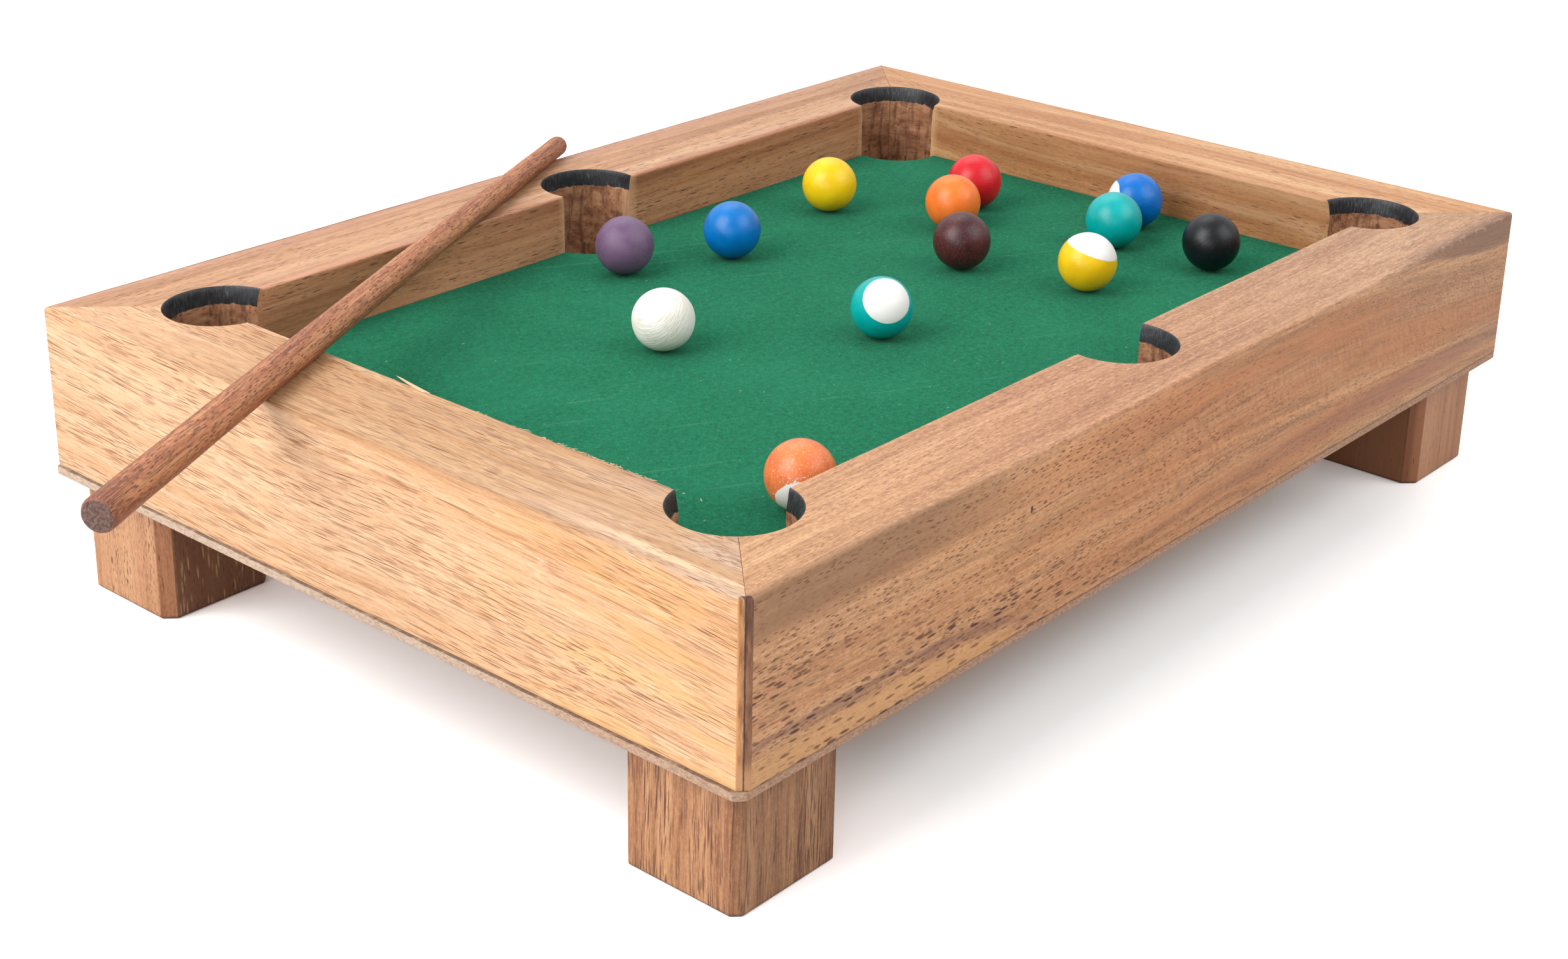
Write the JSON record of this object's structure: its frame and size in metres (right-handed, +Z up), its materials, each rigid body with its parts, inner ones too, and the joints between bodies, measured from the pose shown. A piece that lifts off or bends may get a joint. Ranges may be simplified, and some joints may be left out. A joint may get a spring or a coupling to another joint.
{
  "type": "mini pool table",
  "caption": "Tabletop pool table: mitred hardwood rails on block legs, bored pockets, recessed green felt, loose painted wooden balls and a tapered wooden cue.",
  "frame": {"origin": "on the ground under the centre of the rail frame", "axes": "+X along the long rails, +Y across them, +Z up; the cue lies over the -X and +Y rails"},
  "size_m": [0.366, 0.2178, 0.077],
  "materials": {
    "rail_wood_tan": "oiled open-pored hardwood, pale tan",
    "rail_wood_brown": "oiled open-pored hardwood, golden brown",
    "leg_wood": "oiled hardwood, darker brown",
    "hidden_wood": "plain sawn softwood",
    "base_hardboard": "thin grey-brown hardboard",
    "deck_plywood": "sanded plywood",
    "green_felt": "pressed wool felt, matt",
    "screw_steel": "zinc-plated",
    "cue_wood": "turned reddish-brown hardwood, unpolished",
    "paint_cue": "turned wooden ball, satin paint",
    "paint_yellow": "turned wooden ball, satin paint",
    "paint_blue": "turned wooden ball, satin paint",
    "paint_red": "turned wooden ball, satin paint",
    "paint_purple": "turned wooden ball, satin paint",
    "paint_orange": "turned wooden ball, satin paint",
    "paint_teal": "turned wooden ball, satin paint",
    "paint_maroon": "turned wooden ball, satin paint",
    "paint_black": "turned wooden ball, satin paint",
    "paint_yellow_two_tone": "turned wooden ball, satin paint with one white dipped end",
    "paint_blue_two_tone": "turned wooden ball, satin paint with one white dipped end",
    "paint_orange_two_tone": "turned wooden ball, satin paint with one white dipped end",
    "paint_teal_two_tone": "turned wooden ball, satin paint with one white dipped end"
  },
  "bodies": {
    "table": {"rail_long_near": "rail_wood_brown", "rail_long_far": "rail_wood_brown", "rail_short_left": "rail_wood_tan", "rail_short_right": "rail_wood_brown", "base_board": "base_hardboard", "deck_board": "deck_plywood", "felt_cloth": "green_felt", "deck_cleats_long": "hidden_wood", "deck_cleats_short": "hidden_wood", "leg_near": "leg_wood", "leg_left": "leg_wood", "leg_right": "leg_wood", "leg_far": "leg_wood", "mitre_dowels": "hidden_wood", "leg_screws": "screw_steel", "base_screws": "screw_steel"},
    "ball_yellow": {"ball_yellow": "paint_yellow"},
    "ball_blue": {"ball_blue": "paint_blue"},
    "ball_purple": {"ball_purple": "paint_purple"},
    "ball_cue": {"ball_cue": "paint_cue"},
    "ball_teal_two_tone": {"ball_teal_two_tone": "paint_teal_two_tone"},
    "ball_red": {"ball_red": "paint_red"},
    "ball_orange": {"ball_orange": "paint_orange"},
    "ball_maroon": {"ball_maroon": "paint_maroon"},
    "ball_blue_two_tone": {"ball_blue_two_tone": "paint_blue_two_tone"},
    "ball_teal": {"ball_teal": "paint_teal"},
    "ball_yellow_two_tone": {"ball_yellow_two_tone": "paint_yellow_two_tone"},
    "ball_black": {"ball_black": "paint_black"},
    "ball_orange_two_tone": {"ball_orange_two_tone": "paint_orange_two_tone"},
    "cue": {"cue": "cue_wood"}
  },
  "joints": [
    {"name": "ball_yellow_roll", "type": "slide", "parent": "table", "child": "ball_yellow", "axis": [0.9284, 0.3715, 0], "range_m": [-0.015, 0.045]},
    {"name": "ball_blue_roll", "type": "slide", "parent": "table", "child": "ball_blue", "axis": [-0.3645, 0.9312, 0], "range_m": [-0.04, 0.024]},
    {"name": "ball_purple_roll", "type": "slide", "parent": "table", "child": "ball_purple", "axis": [-0.9839, 0.1789, 0], "range_m": [-0.005, 0.08]},
    {"name": "ball_cue_roll", "type": "slide", "parent": "table", "child": "ball_cue", "axis": [0.4253, -0.905, 0], "range_m": [-0.04, 0.09]},
    {"name": "ball_teal_two_tone_roll", "type": "slide", "parent": "table", "child": "ball_teal_two_tone", "axis": [0.7972, 0.6037, 0], "range_m": [-0.02, 0.06]},
    {"name": "ball_red_roll", "type": "slide", "parent": "table", "child": "ball_red", "axis": [0.5048, 0.8633, 0], "range_m": [-0.003, 0.02]},
    {"name": "ball_orange_roll", "type": "slide", "parent": "table", "child": "ball_orange", "axis": [-0.7521, 0.6591, 0], "range_m": [-0.004, 0.04]},
    {"name": "ball_maroon_roll", "type": "slide", "parent": "table", "child": "ball_maroon", "axis": [-0.5198, -0.8543, 0], "range_m": [-0.012, 0.06]},
    {"name": "ball_blue_two_tone_roll", "type": "slide", "parent": "table", "child": "ball_blue_two_tone", "axis": [0.1394, 0.9902, 0], "range_m": [-0.02, 0.03]},
    {"name": "ball_teal_roll", "type": "slide", "parent": "table", "child": "ball_teal", "axis": [-0.9082, 0.4186, 0], "range_m": [-0.002, 0.025]},
    {"name": "ball_yellow_two_tone_roll", "type": "slide", "parent": "table", "child": "ball_yellow_two_tone", "axis": [-0.9744, -0.2248, 0], "range_m": [-0.01, 0.07]},
    {"name": "ball_black_roll", "type": "slide", "parent": "table", "child": "ball_black", "axis": [0.7262, -0.6875, 0], "range_m": [-0.01, 0.024]},
    {"name": "ball_orange_two_tone_roll", "type": "slide", "parent": "table", "child": "ball_orange_two_tone", "axis": [-0.9568, -0.2906, 0], "range_m": [-0.06, 0.015]},
    {"name": "cue_stroke", "type": "slide", "parent": "table", "child": "cue", "axis": [0.8957, 0.4446, 0], "range_m": [-0.03, 0.06]}
  ]
}
